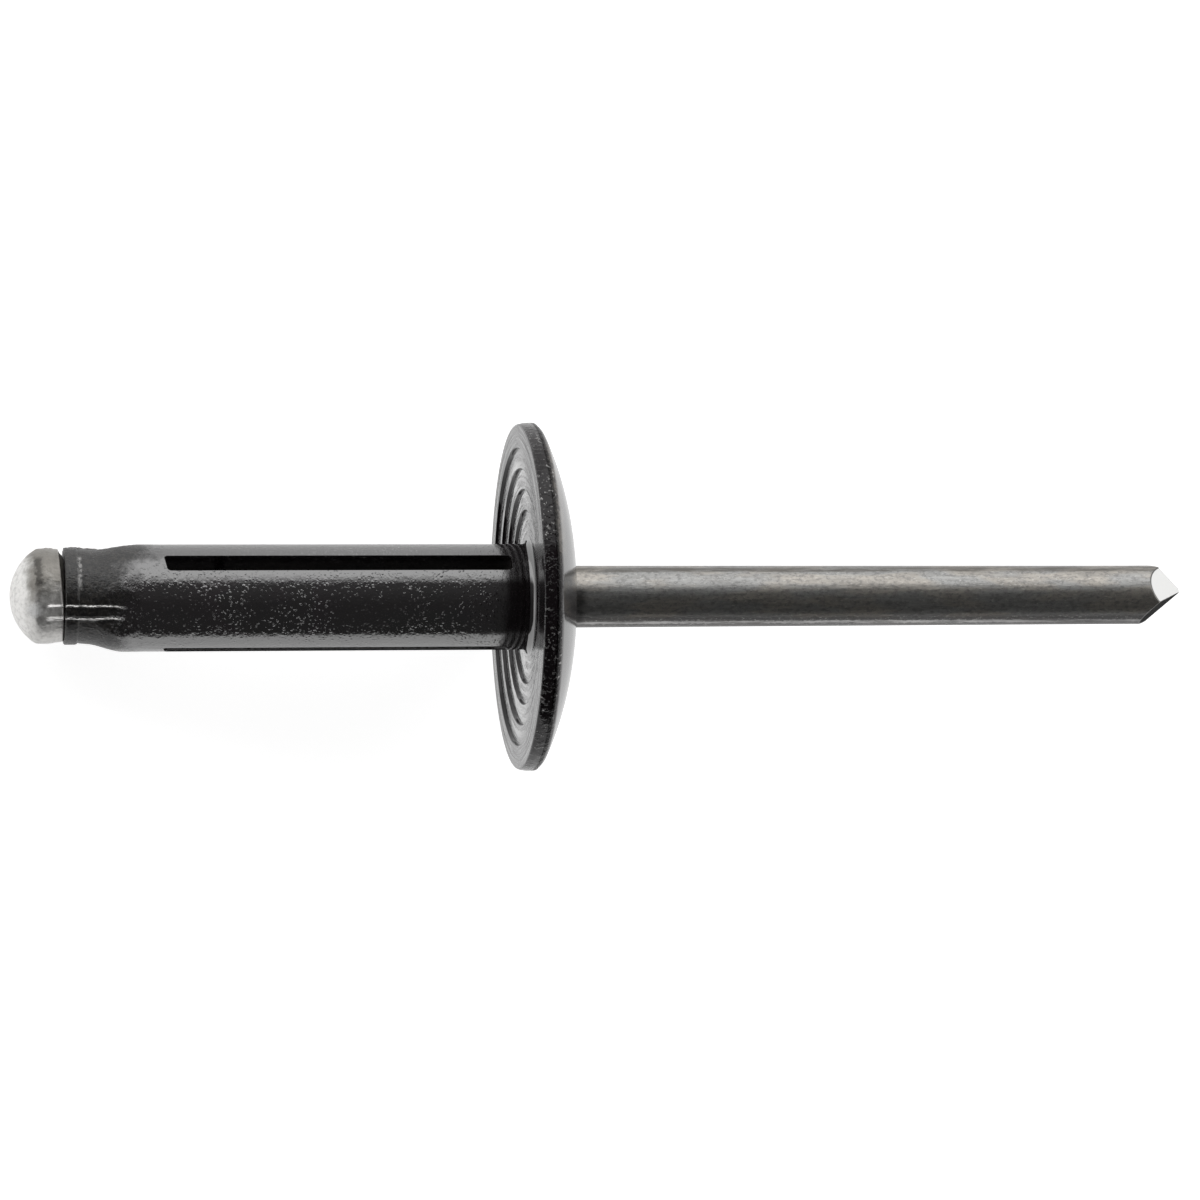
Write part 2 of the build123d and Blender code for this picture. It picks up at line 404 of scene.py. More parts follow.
def wall_grid(s, web, x, y, radius):
    """Places along the axis and angles about it, row by row, of one side of the tube's wall."""
    r = radius(s)[:, None]
    edge = np.degrees(np.arcsin(SLOT_HALF / r))
    beside = np.broadcast_to(s[:, None], (len(s), len(web)))
    place, turn = [], []
    for angle in SLOTS:
        place += [x, beside]
        turn += [angle + np.degrees(np.arcsin(np.clip(y / r, -1, 1)))]
        turn += [angle + edge + web * (SLOT_PITCH - 2 * edge)]
    return np.concatenate(place, 1), np.concatenate(turn, 1)


def slot_loop(columns, first, last):
    """Rows and columns of the points round a slot, in order."""
    right = columns - 1
    loop = [(j, 0) for j in range(first, last + 1)]
    loop += [(last, i) for i in range(1, right)]
    loop += [(j, right) for j in range(last, first - 1, -1)]
    loop += [(first, i) for i in range(right - 1, 0, -1)]
    return np.array(loop).T


def slot_wall(points, angle, x, y, away, outer, inner):
    """Faces of a slot's wall, from its rounded outer edge in to the bore."""
    a = math.radians(angle)
    out = math.sin(a) * SIDE + math.cos(a) * UP
    tangent = math.cos(a) * SIDE - math.sin(a) * UP
    top = np.sqrt(tube_radius(x) ** 2 - y ** 2)
    low = np.sqrt(BORE_R ** 2 - y ** 2)

    def ring(along, across, height):
        spot = along[:, None] * AXIS + across[:, None] * tangent + height[:, None] * out
        return points.add((ORIGIN + spot) * MM)

    rings = [outer]
    for t in (math.radians(30), math.radians(60), math.radians(90)):
        back = SLOT_EDGE * (1 - math.sin(t))
        deep = SLOT_EDGE * (1 - math.cos(t))
        rings.append(ring(x + away[0] * back, y + away[1] * back, top - deep))
    for t in (0.35, 0.7):
        rings.append(ring(x, y, (top - SLOT_EDGE) * (1 - t) + low * t))
    rings.append(inner)
    return [face for ring_pair in zip(rings, rings[1:]) for face in strip_faces(*ring_pair)]


def tube_end(points, outer, inner, across, web):
    """Faces of the tube's rounded end, under the mandrel's head."""
    edge = np.degrees(np.arcsin(SLOT_HALF / LIP_R))
    in_slot = np.degrees(np.arcsin(across / LIP_R))
    from_slot = np.concatenate([in_slot, edge + web * (SLOT_PITCH - 2 * edge)])
    angles = np.concatenate([angle + from_slot for angle in SLOTS])
    faces = []
    previous = outer
    for t in (math.radians(30), math.radians(60), math.radians(90)):
        s = np.full(len(angles), SHELL_END + LIP_EDGE * (1 - math.sin(t)))
        r, worn = crimped(s, angles, np.full(len(angles), LIP_R), np.ones(len(angles)), FLAT)
        ring = points.add(placed(s, angles, r - LIP_EDGE * (1 - math.cos(t))), worn)
        faces.extend(strip_faces(previous, ring))
        previous = ring
    faces.extend(strip_faces(previous, inner))
    return faces


def tube_mesh():
    """Points and faces of the tube, and how worn its paint is at each point."""
    across, web = tube_columns()
    s, first, last = tube_rows()
    in_slot = slot_place(s, across, first, last)
    points = Points()

    place, turn = wall_grid(s, web, *moved_back(in_slot, across, first, last, SLOT_EDGE), tube_radius)
    reach = 1 - smooth(place, SHELL_END + RIDGE_FADES, SHELL_END + RIDGE_ENDS)
    radii, worn = crimped(place, turn, tube_radius(place), reach, FLAT)
    outer = points.add(placed(place, turn, radii), worn)
    place, turn = wall_grid(s, web, *moved_back(in_slot, across, first, last, 0), bore_radius)
    inner = points.add(placed(place, turn, bore_radius(place)))

    per_slot = len(across) + len(web)
    solid = np.ones((len(s) - 1, per_slot * SLOT_COUNT), bool)
    for start in range(0, per_slot * SLOT_COUNT, per_slot):
        solid[first:last, start:start + len(across) - 1] = False
    quads = tube_faces(len(s), per_slot * SLOT_COUNT)[solid]
    faces = list(outer.reshape(-1)[quads]) + list(inner.reshape(-1)[quads][:, ::-1])

    j, i = slot_loop(len(across), first, last)
    ends = np.radians(np.linspace(-90, 90, len(across)))[i]
    away_x = np.where(j == last, np.cos(ends), np.where(j == first, -np.cos(ends) ** 0.5, 0))
    away_y = np.where((j == last) | (j == first), np.sin(ends), np.sign(across[i]))
    for k, angle in enumerate(SLOTS):
        column = i + k * per_slot
        faces += slot_wall(points, angle, in_slot[j, i], across[i], (away_x, away_y),
                           outer[j, column], inner[j, column])
    faces += tube_end(points, outer[0], inner[0], across, web)
    faces.extend(strip_faces(inner[-1], outer[-1]))
    return np.concatenate(points.places), faces, np.concatenate(points.values)


# --- Shell: flange ---
def dish(radius):
    """Depth of the flange's dished underside, which runs out at the seat."""
    return DISH * (1 - (radius / LAND_R) ** 2)


def underside_outline():
    """Outline of the flange from the shank over its ringed underside to the rim."""
    corners = [(-0.5, SHANK_R + 0.002), (dish(SHANK_R), SHANK_R + 0.002)]
    radii = [ROOT_FILLET]
    for i in reversed(range(RINGS)):
        crest = LAND_R - i * RING_PITCH
        groove = crest - RING_WALL
        corners += [(dish(groove) + RING_DEPTH, groove), (dish(crest), crest)]
        radii += [0.012, 0.025]
    corners += [(0, FLANGE_R - SEAT_BEVEL), (BEVEL_HEIGHT, FLANGE_R), (RIM, FLANGE_R)]
    radii += [0.10, 0.90]
    return resampled(filleted(corners, radii), 0.12)


def dome_outline():
    """Outline of the dome in two arcs: from the rim inwards, and on to the mouth of the bore."""
    centre = CROWN - CROWN_ARC
    turn = math.asin(CROWN_REACH / CROWN_ARC)
    join = np.array([centre + CROWN_ARC * math.cos(turn), CROWN_REACH])
    # the outer arc leaves the middle one smoothly and reaches the rim
    along = np.array([-math.sin(turn), math.cos(turn)])
    gap = np.array([RIM, FLANGE_R]) - join
    inward = np.array([-along[1], along[0]])
    radius = gap @ gap / (2 * gap @ inward)
    hub = join + inward * radius
    a0 = math.atan2(*(join - hub)[::-1])
    a1 = math.atan2(*(np.array([RIM, FLANGE_R]) - hub)[::-1])
    sweep = np.linspace(a1, a0, 40)
    outer = hub + abs(radius) * np.stack([np.cos(sweep), np.sin(sweep)], -1)
    inner_turn = np.linspace(turn, math.asin(BORE_R / CROWN_ARC), 16)[1:]
    middle = np.stack([centre + CROWN_ARC * np.cos(inner_turn), CROWN_ARC * np.sin(inner_turn)], -1)
    return outer, middle


def flange_outline():
    """Outline of the flange from the shank over underside, rim and dome, and back through the bore."""
    underside = underside_outline()
    outer, middle = dome_outline()
    rim = filleted([underside[-2], (RIM, FLANGE_R), outer[3]], [DOME_EDGE], 8)[1:-1]
    mouth = filleted([middle[-2], middle[-1], (1.2, BORE_R)], [0.08], 4)[1:]
    back = np.array([(0.9, BORE_R), (0.9, 2.2), (-0.5, 2.2)])
    keep = outer[:, 1] < rim[-1][1] - 0.02
    return resampled(np.concatenate([underside[:-1], rim, outer[keep], middle[:-1], mouth, back]), 0.14)


def flange_mesh(columns=300):
    """Points and faces of the flange, a closed ring about the top of the tube."""
    outline = flange_outline()
    angle = np.arange(columns) * 360 / columns
    s, r = outline[:, :1], outline[:, 1:]
    grid = placed(*np.broadcast_arrays(s, angle[None, :], r))
    return grid.reshape(-1, 3), tube_faces(len(outline), columns, closed=True).reshape(-1, 4)


# --- Mandrel ---
def mandrel_outline():
    """Outline of the mandrel from the middle of its dome over seat and notch to just before its point."""
    tip = SHELL_END - HEAD_LENGTH
    centre = tip + HEAD_DOME
    # dome, its blend into the side, the side, and the rounded seat on the shell
    reach = math.sqrt((HEAD_DOME - HEAD_BLEND) ** 2 - (HEAD_R - HEAD_BLEND) ** 2)
    leave = math.atan2(HEAD_R - HEAD_BLEND, reach)
    turn = np.linspace(0, leave, 34)[1:]
    dome = np.stack([centre - HEAD_DOME * np.cos(turn), HEAD_DOME * np.sin(turn)], -1)
    bend = np.linspace(leave, math.pi / 2, 9)[1:]
    hub = np.array([centre - reach, HEAD_R - HEAD_BLEND])
    blend = hub + HEAD_BLEND * np.stack([-np.cos(bend), np.sin(bend)], -1)
    seat = filleted([blend[-1], (SHELL_END, HEAD_R), (SHELL_END, WIRE_R)], [HEAD_SEAT], 12)[1:]
    seat = resampled(np.concatenate([blend[-1:], seat]), 0.05)[1:]
    wire = [(NOTCH_AT - NOTCH_HALF, WIRE_R), (NOTCH_AT, NOTCH_R), (NOTCH_AT + NOTCH_HALF, WIRE_R)]
    wire += [(0, WIRE_R), (CROWN - 0.6, ROOT_R), (TIP - POINT_LEAD, WIRE_R)]
    wire = resampled(np.array([(SHELL_END, WIRE_R)] + wire), 1.5)[1:]
    return np.concatenate([dome, blend, seat, wire])


def point_edge_angles():
    """Angles about the wire at which the edges between the point's facets leave it."""
    turn = np.radians(POINT_ANGLE + 45 + 90 * np.arange(4))
    toward_side, toward_up = np.sin(turn), np.cos(turn)
    aside = POINT_SHIFT * toward_side
    reach = np.sqrt(aside ** 2 + WIRE_R ** 2 - POINT_SHIFT ** 2) - aside
    return np.degrees(np.arctan2(POINT_SHIFT + reach * toward_side, reach * toward_up)) % 360


def mandrel_columns():
    """Angles about the mandrel: close together at the crimps, and one on each edge between two facets."""
    fine = np.degrees(BESIDE_CRIMP / HEAD_R)
    fine = np.concatenate([-fine[::-1], [0], fine])
    dense = np.concatenate([c + fine for c in CRIMPS]) % 360
    edges = point_edge_angles()
    fill = (POINT_ANGLE + np.arange(0, 360, 3.0)) % 360
    room = [a for a in fill if np.abs((a - dense + 180) % 360 - 180).min() > 1.2]
    angles = np.sort(np.concatenate([dense, room]))
    gap = np.abs((angles[:, None] - edges + 180) % 360 - 180)
    angles[gap.argmin(0)] = edges
    return np.sort(angles % 360)


def pressed_head(outline, angles):
    """Rows of the mandrel up to its point, its head pinched by the jaws, and how bright its ridges are."""
    s, r, a = np.broadcast_arrays(outline[:, :1], outline[:, 1:], angles[None, :])
    lean = smooth(s, SHELL_END - 0.9, SHELL_END - 0.2) * smooth(r, 1.72, 2.02)
    r = r - 0.08 * smooth(s, SHELL_END - 0.75, SHELL_END - 0.1) * (r > WIRE_R + 0.01) * (s < SHELL_END)
    head = (s < SHELL_END - 0.02) & (s > SHELL_END - 1.5)
    reach = smooth(s, SHELL_END - BLADE_ON_HEAD - 0.15, SHELL_END - BLADE_ON_HEAD + 0.25)
    pressed, bright = crimped(s, a, r, reach, HEAD_R - 0.012)
    s = s - lean * HEAD_LEAN * (0.5 + 0.5 * np.cos(np.radians(a - 80))) ** 1.5
    return s, np.where(head, pressed, r), a, np.where(head, bright, 0)


def point_rows(angles):
    """Rows of the wire's last stretch and its nipped point, and how freshly cut each is, the rough facet
    also being darkened as painted shade.

    Four flat facets meet to one side of the axis, each crossing the round wire in a curve.
    """
    turn = np.radians(angles)
    sideways = WIRE_R * np.sin(turn) - POINT_SHIFT
    upwards = WIRE_R * np.cos(turn)
    normals = np.radians(POINT_ANGLE + 90 * np.arange(4))[:, None]
    out = sideways * np.sin(normals) + upwards * np.cos(normals)
    apex = TIP + POINT_FLAT / math.tan(POINT_HALF_ANGLE)
    start = apex - out.max(0) / math.tan(POINT_HALF_ANGLE)
    lead = np.linspace(0, 1, 7)[1:, None]
    wire_s = TIP - POINT_LEAD + (start - (TIP - POINT_LEAD)) * (1 - (1 - lead) ** 2.2)
    facet = np.linspace(0, 1, 15)[1:, None] * (TIP - start) / (apex - start)
    across = POINT_SHIFT + sideways * (1 - facet)
    high = upwards * (1 - facet)
    s = np.concatenate([wire_s, start + (apex - start) * facet])
    r = np.concatenate([np.full(wire_s.shape, WIRE_R), np.hypot(across, high)])
    a = np.concatenate([np.broadcast_to(angles, wire_s.shape), np.degrees(np.arctan2(across, high))])
    # the rough facet gets 0.4, and is darkened as painted shade
    freshness = np.where(out.argmax(0) == DULL_SHADED_FACET, 0.4, 1.0)
    cut = np.concatenate([np.zeros(wire_s.shape), np.broadcast_to(freshness, across.shape)])
    return s, r, a, cut


def nicked(s, r, a):
    """The same places with the little flat that the wire's cutter left on the edge of the dome."""
    toward_head, toward_side = -0.567, 0.825
    over = toward_head * s + toward_side * r * np.sin(np.radians(a)) - HEAD_FLAT
    over = np.clip(over, 0, None) * (s < SHELL_END - 0.9)
    across = r * np.sin(np.radians(a)) - toward_side * over
    high = r * np.cos(np.radians(a))
    return s - toward_head * over, np.hypot(across, high), np.degrees(np.arctan2(across, high))


def mandrel_mesh():
    """Points and faces of the mandrel, and how bright its metal is worn or freshly cut at each point."""
    angles = mandrel_columns()
    n = len(angles)
    *body, bright = pressed_head(mandrel_outline(), angles)
    *point, cut = point_rows(angles)
    s, r, a = nicked(*(np.concatenate(rows) for rows in zip(body, point)))
    grid = placed(s, a, r).reshape(-1, 3)
    ends = np.array([SHELL_END - HEAD_LENGTH, TIP])
    tips = placed(ends, np.array([0.0, 90.0]), np.array([0.0, POINT_SHIFT]))
    faces = list(tube_faces(len(s), n).reshape(-1, 4))
    last = len(grid) - n
    for i in range(n):
        faces.append((len(grid), (i + 1) % n, i))
        faces.append((len(grid) + 1, last + i, last + (i + 1) % n))
    bright = np.concatenate([bright.reshape(-1), np.zeros(cut.size), [0.0, 0.0]])
    cut = np.concatenate([np.zeros(body[0].size), cut.reshape(-1), [0.0, 1.0]])
    return np.concatenate([grid, tips]), faces, bright, cut


def set_values(obj, name, values):
    """Stores one value a point, for the material to read."""
    layer = obj.data.attributes.new(name, "FLOAT", "POINT")
    layer.data.foreach_set("value", np.asarray(values, np.float32))


# --- Materials ---
class Nodes:
    """Short way to write a material's or the world's nodes."""

    def __init__(self, tree):
        self.tree = tree
        tree.nodes.clear()

    def add(self, kind, inputs=None, **settings):
        """A node with its settings, each input linked to a socket or given a value."""
        node = self.tree.nodes.new(kind)
        for key, value in settings.items():
            setattr(node, key, value)
        for key, value in (inputs or {}).items():
            if isinstance(value, bpy.types.NodeSocket):
                self.tree.links.new(value, node.inputs[key])
            else:
                node.inputs[key].default_value = value
        return node

    def math(self, operation, a, b=0.0):
        return self.add("ShaderNodeMath", {0: a, 1: b}, operation=operation).outputs[0]

    def times(self, *values):
        """Product of all the values."""
        return reduce(lambda a, b: self.math("MULTIPLY", a, b), values)

    def plus(self, *values):
        """Sum of all the values."""
        return reduce(lambda a, b: self.math("ADD", a, b), values)

    def most(self, *values):
        """Greatest of all the values."""
        return reduce(lambda a, b: self.math("MAXIMUM", a, b), values)

    def ramp(self, value, low, high, to_low=0.0, to_high=1.0):
        """Even curve from to_low, where the value is low, to to_high, where it is high."""
        inputs = {"Value": value, "From Min": low, "From Max": high, "To Min": to_low, "To Max": to_high}
        return self.add("ShaderNodeMapRange", inputs, interpolation_type="SMOOTHSTEP").outputs["Result"]

    def band(self, value, start, full, fade, end):
        """0 up to start, 1 between full and fade, and 0 again from end."""
        return self.times(self.ramp(value, start, full), self.ramp(value, end, fade))

    def waver(self, value, noise, amount):
        """The value, moved up and down by a noise."""
        return self.plus(value, self.times(self.math("SUBTRACT", noise, 0.5), amount))

    def noise(self, vector, scale, detail=2.0, roughness=0.5, distortion=0.0):
        inputs = {"Vector": vector, "Scale": scale, "Detail": detail}
        inputs |= {"Roughness": roughness, "Distortion": distortion}
        return self.add("ShaderNodeTexNoise", inputs).outputs["Fac"]

    def spots(self, vector, scale, size):
        """Scattered round spots of uneven strength."""
        cells = self.add("ShaderNodeTexVoronoi", {"Vector": vector, "Scale": scale})
        strength = self.add("ShaderNodeSeparateColor", {0: cells.outputs["Color"]}).outputs[0]
        shape = self.ramp(cells.outputs["Distance"], size, size * 0.3)
        return self.times(shape, self.ramp(strength, 0.35, 0.95))

    def mix(self, factor, a, b):
        """Colour a with so much of colour b in it."""
        return self.add("ShaderNodeMix", {0: factor, 6: a, 7: b}, data_type="RGBA").outputs[2]

    def along(self, stretch=1.0):
        """Place in millimetres with x along the rivet's axis, and that direction scaled."""
        place = self.add("ShaderNodeTexCoord").outputs["Object"]
        turned = {"Vector": place, "Rotation": (0, LYING, 0), "Scale": (1 / MM,) * 3}
        turned = self.add("ShaderNodeMapping", turned).outputs[0]
        return self.add("ShaderNodeMapping", {"Vector": turned, "Scale": (stretch, 1.0, 1.0)}).outputs[0]

    def fields(self):
        """What the parts of a material share: the place, and how far along, aside and up it is."""
        place = self.along()
        parts = self.add("ShaderNodeSeparateXYZ", {0: place}).outputs
        return SimpleNamespace(place=place, along=parts["X"], side=parts["Y"], high=parts["Z"])

    def attribute(self, name):
        """Value that the mesh holds at each of its points."""
        return self.add("ShaderNodeAttribute", attribute_name=name).outputs["Fac"]

    def bump(self, height, distance):
        inputs = {"Height": height, "Strength": 1.0, "Distance": distance * MM}
        return self.add("ShaderNodeBump", inputs).outputs[0]


def material(name):
    """New material, and its nodes to write."""
    mat = bpy.data.materials.new(name)
    mat.use_nodes = True
    return mat, Nodes(mat.node_tree)


# --- Paint ---
def paint_fields(n):
    """What the parts of the paint share: the place, masks, grain and ripples."""
    f = n.fields()
    f.out = n.math("POWER", n.plus(n.times(f.side, f.side), n.times(f.high, f.high)), 0.5)
    f.rim = n.ramp(f.out, FLANGE_R - 0.22, FLANGE_R - 0.05)
    f.flange = n.ramp(f.out, SHANK_R + 0.1, SHANK_R + 0.5)
    f.calm = n.times(n.ramp(f.along, -0.6, -2.2), n.ramp(f.flange, 1, 0))
    below = n.ramp(f.along, 0.75, 0.60)
    f.under = n.times(f.flange, below)
    f.ringed = n.times(n.ramp(f.out, LAND_R + 0.05, LAND_R + 0.02), below)
    f.grain = n.noise(f.place, 5.0, 4.0, 0.7)
    # ripples in the pooled paint of the underside run round it
    round_x = n.math("DIVIDE", f.side, f.out)
    round_y = n.math("DIVIDE", f.high, f.out)
    around = n.add("ShaderNodeCombineXYZ", {0: n.times(f.out, 3.2), 1: round_x, 2: round_y}).outputs[0]
    around = n.add("ShaderNodeMapping", {"Vector": around, "Scale": (1.0, 1.5, 1.5)}).outputs[0]
    f.ripples = n.noise(around, 1.0, 3.0, 0.6, 0.4)
    return f


def ring_steps(n, f):
    """The ring-shaped steps of the underside, where the paint is matt."""
    turns = n.math("MODULO", n.math("SUBTRACT", LAND_R + 0.03, f.out), RING_PITCH)
    return n.times(n.ramp(turns, 0.10, 0.08), f.ringed, n.ramp(f.out, 3.80, 3.86))


def outer_land(n, f):
    """The underside between its rings and the rim."""
    between = n.times(n.ramp(f.out, LAND_R - 1.2, LAND_R + 0.5), n.ramp(f.rim, 1, 0))
    return n.times(between, n.ramp(f.along, 0.45, 0.25))


def underside_coat(n, f, step, land):
    """How much more the underside mirrors at a low angle: most on its lower half, as a painted sheen, and
    least in its steps.
    """
    coat = n.times(f.flange, f.ringed, n.ramp(step, 0, 1, 0.75, 0.0), n.ramp(land, 0, 1, 1.0, 0.1))
    # the lower half mirroring more is a painted sheen
    return n.times(coat, n.ramp(f.high, 2.0, -1.5, 0.05, 1.0), n.ramp(f.ripples, 0.58, 0.40, 0.45, 1.3))


def scuffed_neck(n, f):
    """The neck that the crimping tool scuffed dull, further up the shank on its +Y side."""
    reach = n.waver(n.waver(f.along, n.noise(f.place, 1.3, 3.0, 0.6), 2.6), f.grain, 1.6)
    reach = n.math("SUBTRACT", reach, n.ramp(f.side, 1.45, 1.85, 0.0, 1.2))
    return n.ramp(reach, SHELL_END + 3.5, SHELL_END + 1.7)


def paint_pits(n, f):
    """Pits of the shank, in clusters, and of the rim."""
    cluster = n.ramp(n.noise(f.place, 0.55, 2.0, 0.5), 0.42, 0.62)
    cluster = n.most(n.ramp(cluster, 0, 1, 0.35, 1.0), f.rim)
    pits = n.ramp(n.noise(f.place, 8.0, 1.0, 0.4), 0.64, 0.72)
    pits = n.most(pits, n.spots(f.place, 4.0, 0.36), n.spots(f.place, 6.5, 0.42))
    on_rim = n.times(f.rim, n.ramp(n.noise(f.place, 4.5, 2.0, 0.5), 0.50, 0.66))
    return n.most(n.times(pits, cluster, f.calm), on_rim)


def bare_spots_and_lip_highlight(n, f):
    """Bare metal on the jaws' ridges and in chips on the rim, and a painted highlight of pale metal in a
    short strip behind the lip.
    """
    ridges = n.waver(n.attribute("worn"), n.noise(f.place, 6.0, 3.0), 1.5)
    # painted highlight: pale metal in a strip behind the lip on the +Y side
    lip_highlight = n.band(f.along, SHELL_END + 0.50, SHELL_END + 0.62, SHELL_END + 0.70, SHELL_END + 0.80)
    lip_highlight = n.times(lip_highlight, n.band(f.side, 0.2, 0.7, 1.80, 1.95), n.ramp(f.grain, 0.35, 0.60))
    chips = n.times(f.rim, n.ramp(n.noise(f.place, 6.0, 2.0, 0.55), 0.57, 0.66))
    chips = n.times(chips, n.ramp(n.noise(f.place, 0.9, 2.0, 0.5), 0.42, 0.58))
    return n.most(n.ramp(ridges, 0.42, 0.62), n.times(lip_highlight, 0.55), n.times(chips, 0.5))


def paint_relief(n, f, pits, neck):
    """Peel of the paint, its pits, the rough neck, and the ripples of the underside."""
    peel = n.times(n.noise(f.place, 2.8, 3.0, 0.6), n.ramp(f.calm, 0, 1, 0.08, 0.42))
    rough = n.times(n.noise(f.place, 6.0, 4.0, 0.65), neck, 0.95)
    return n.bump(n.plus(peel, n.times(pits, 0.36), rough, n.times(f.ripples, f.under, 1.9)), 0.05)


def paint_colour(n, f, pits, neck):
    """Black, greyer on the scuffed neck and in the pits, with dust on the rounded edge of the dome."""
    scuff = n.mix(n.ramp(f.grain, 0.42, 0.66), SCUFF_DARK, SCUFF_LIGHT)
    colour = n.mix(neck, PAINT_BLACK, scuff)
    colour = n.mix(n.times(pits, n.ramp(f.rim, 0, 1, 0.50, 0.0)), colour, SPECK)
    edge = n.times(n.ramp(f.along, 0.55, 0.75), n.ramp(f.out, FLANGE_R - 1.0, FLANGE_R - 0.5))
    uneven = n.ramp(n.noise(f.place, 3.2, 4.0, 0.65), 0.38, 0.60, 0.15, 0.85)
    return n.mix(n.times(n.band(f.side, 1.0, 2.6, 6.6, 7.4), edge, uneven), colour, DUST)


def paint_dullness(n, f, step, land, neck):
    """How much less the paint mirrors on neck, rim and underside, and round the foot of the wire, where the
    dimming is painted shade; the dimming on the underside's upper half is a painted dark reflection.
    """
    # painted dark reflection: the underside's upper half mirrors less
    upper = n.times(f.under, n.ramp(f.high, 0.5, 3.0, 0.0, 0.80))
    upper = n.times(upper, n.ramp(n.waver(f.side, f.ripples, 3.0), -0.6, 0.5, 0.25, 1.0))
    rippled = n.times(f.under, n.ramp(f.ripples, 0.46, 0.62, 0.0, 0.45))
    # painted shade round the foot of the wire on the dome
    foot = n.times(n.ramp(f.out, 2.35, 1.75), n.ramp(f.along, CROWN - 0.9, CROWN - 0.6))
    foot = n.times(foot, n.band(f.side, -1.35, -1.1, 0.1, 0.35))
    return n.most(n.times(neck, 0.82), f.rim, step, rippled, n.times(land, 0.55), upper, foot)


def black_paint():
    """Gloss black paint, pitted, scuffed, rippled and dusty, worn through to the metal beneath in places,
    and with a painted highlight behind the lip.
    """
    mat, n = material("black_paint_look")
    f = paint_fields(n)
    step = ring_steps(n, f)
    land = outer_land(n, f)
    neck = scuffed_neck(n, f)
    pits = paint_pits(n, f)
    # metal under the paint, and the painted highlight behind the lip
    bare_and_highlight = bare_spots_and_lip_highlight(n, f)
    shader = n.add("ShaderNodeBsdfPrincipled", {
        "Base Color": n.mix(bare_and_highlight, paint_colour(n, f, pits, neck), UNDER_PAINT_AND_HIGHLIGHT),
        "Metallic": bare_and_highlight,
        "Roughness": n.ramp(neck, 0, 1, 0.11, 0.34),
        "IOR": 2.6,
        "Specular Tint": n.mix(paint_dullness(n, f, step, land, neck), grey(1), grey(0.14)),
        "Coat Weight": underside_coat(n, f, step, land),
        "Coat Roughness": 0.05,
        "Coat IOR": 1.7,
        "Normal": paint_relief(n, f, pits, neck),
    })
    n.add("ShaderNodeOutputMaterial", {"Surface": shader.outputs[0]})
    return mat


# --- Aluminium ---
def metal_fields(n):
    """What the parts of the metal share: the place, where the head is, and its noises."""
    f = n.fields()
    f.head = n.ramp(f.along, SHELL_END + 0.05, SHELL_END - 0.05)
    f.streaks = n.noise(n.along(0.10), 5.0, 4.0, 0.65)
    f.mottle = n.noise(n.along(0.55), 7.0, 5.0, 0.72)
    f.smudge = n.noise(f.place, 1.1, 4.0, 0.62)
    f.grain = n.noise(f.place, 5.0, 3.0, 0.6)
    return f


def wire_colour(n, f):
    """Warm and cold greys, mottled and flecked, with painted shade on the -Y side and a broken painted
    highlight line there.
    """
    warm = n.ramp(n.noise(n.along(0.22), 1.3, 2.0, 0.5), 0.42, 0.58)
    wire = n.mix(warm, WIRE_COLD, WIRE_WARM)
    wire = n.mix(n.ramp(f.streaks, 0.35, 0.70, 0.0, 0.55), wire, WIRE_STREAK)
    wire = n.mix(n.ramp(f.mottle, 0.45, 0.65, 0.0, 0.65), wire, WIRE_MOTTLE)
    aside = n.waver(f.side, f.mottle, 0.22)
    # painted shade on the wire's -Y side
    wire = n.mix(n.ramp(aside, -0.85, -1.05, 0.0, 0.88), wire, WIRE_SHADED_SIDE)
    flecks = n.ramp(n.noise(n.along(0.40), 15.0, 2.0, 0.6), 0.60, 0.70)
    wire = n.mix(n.times(flecks, 0.40), wire, WIRE_FLECK)
    # broken painted highlight line along the wire's -Y side
    line = n.times(n.band(aside, -1.29, -1.24, -1.18, -1.12), n.ramp(f.streaks, 0.35, 0.60, 0.15, 0.85))
    wire = n.mix(line, wire, WIRE_HIGHLIGHT_LINE)
    brown = n.times(n.band(f.side, 1.08, 1.16, 1.28, 1.36), n.ramp(f.streaks, 0.35, 0.60, 0.35, 0.85))
    return n.mix(brown, wire, WIRE_BROWN)


def highlight_spot(n, f):
    """A painted highlight spot on the -Y side of the dome."""
    def squared(value, middle, half):
        return n.math("POWER", n.math("DIVIDE", n.math("SUBTRACT", value, middle), half), 2.0)

    near = n.plus(squared(f.along, -22.05, 0.45), squared(f.side, -0.55, 0.40), n.times(f.grain, 0.9))
    return n.times(n.ramp(near, 1.45, 0.45), n.ramp(f.high, 0.0, 0.5))


def head_colour(n, f, spot):
    """Painted light and shade: shaded towards +Y, lit towards -Y, brightest in front and with a painted
    highlight spot; grime, and a darker ring where the dome turns into the side.
    """
    # painted shade towards +Y, and painted light towards -Y and at the front of the head
    knob = n.mix(n.ramp(n.waver(f.side, f.smudge, 2.6), 1.0, -0.5), HEAD_SHADED, HEAD_LIT)
    knob = n.mix(n.ramp(n.waver(f.along, f.smudge, 0.9), -22.0, -22.6), knob, HEAD_FRONT_LIT)
    # painted highlight spot on the head
    knob = n.mix(spot, knob, HEAD_HIGHLIGHT)
    knob = n.mix(n.ramp(f.grain, 0.40, 0.75, 0.0, 0.30), knob, HEAD_GRIME)
    ring = n.band(n.waver(f.along, f.grain, 0.55), -22.12, -21.92, -21.80, -21.58)
    ring = n.times(ring, n.band(f.side, 0.45, 0.7, 1.7, 1.95))
    return n.mix(n.times(ring, 0.75), knob, HEAD_RING)


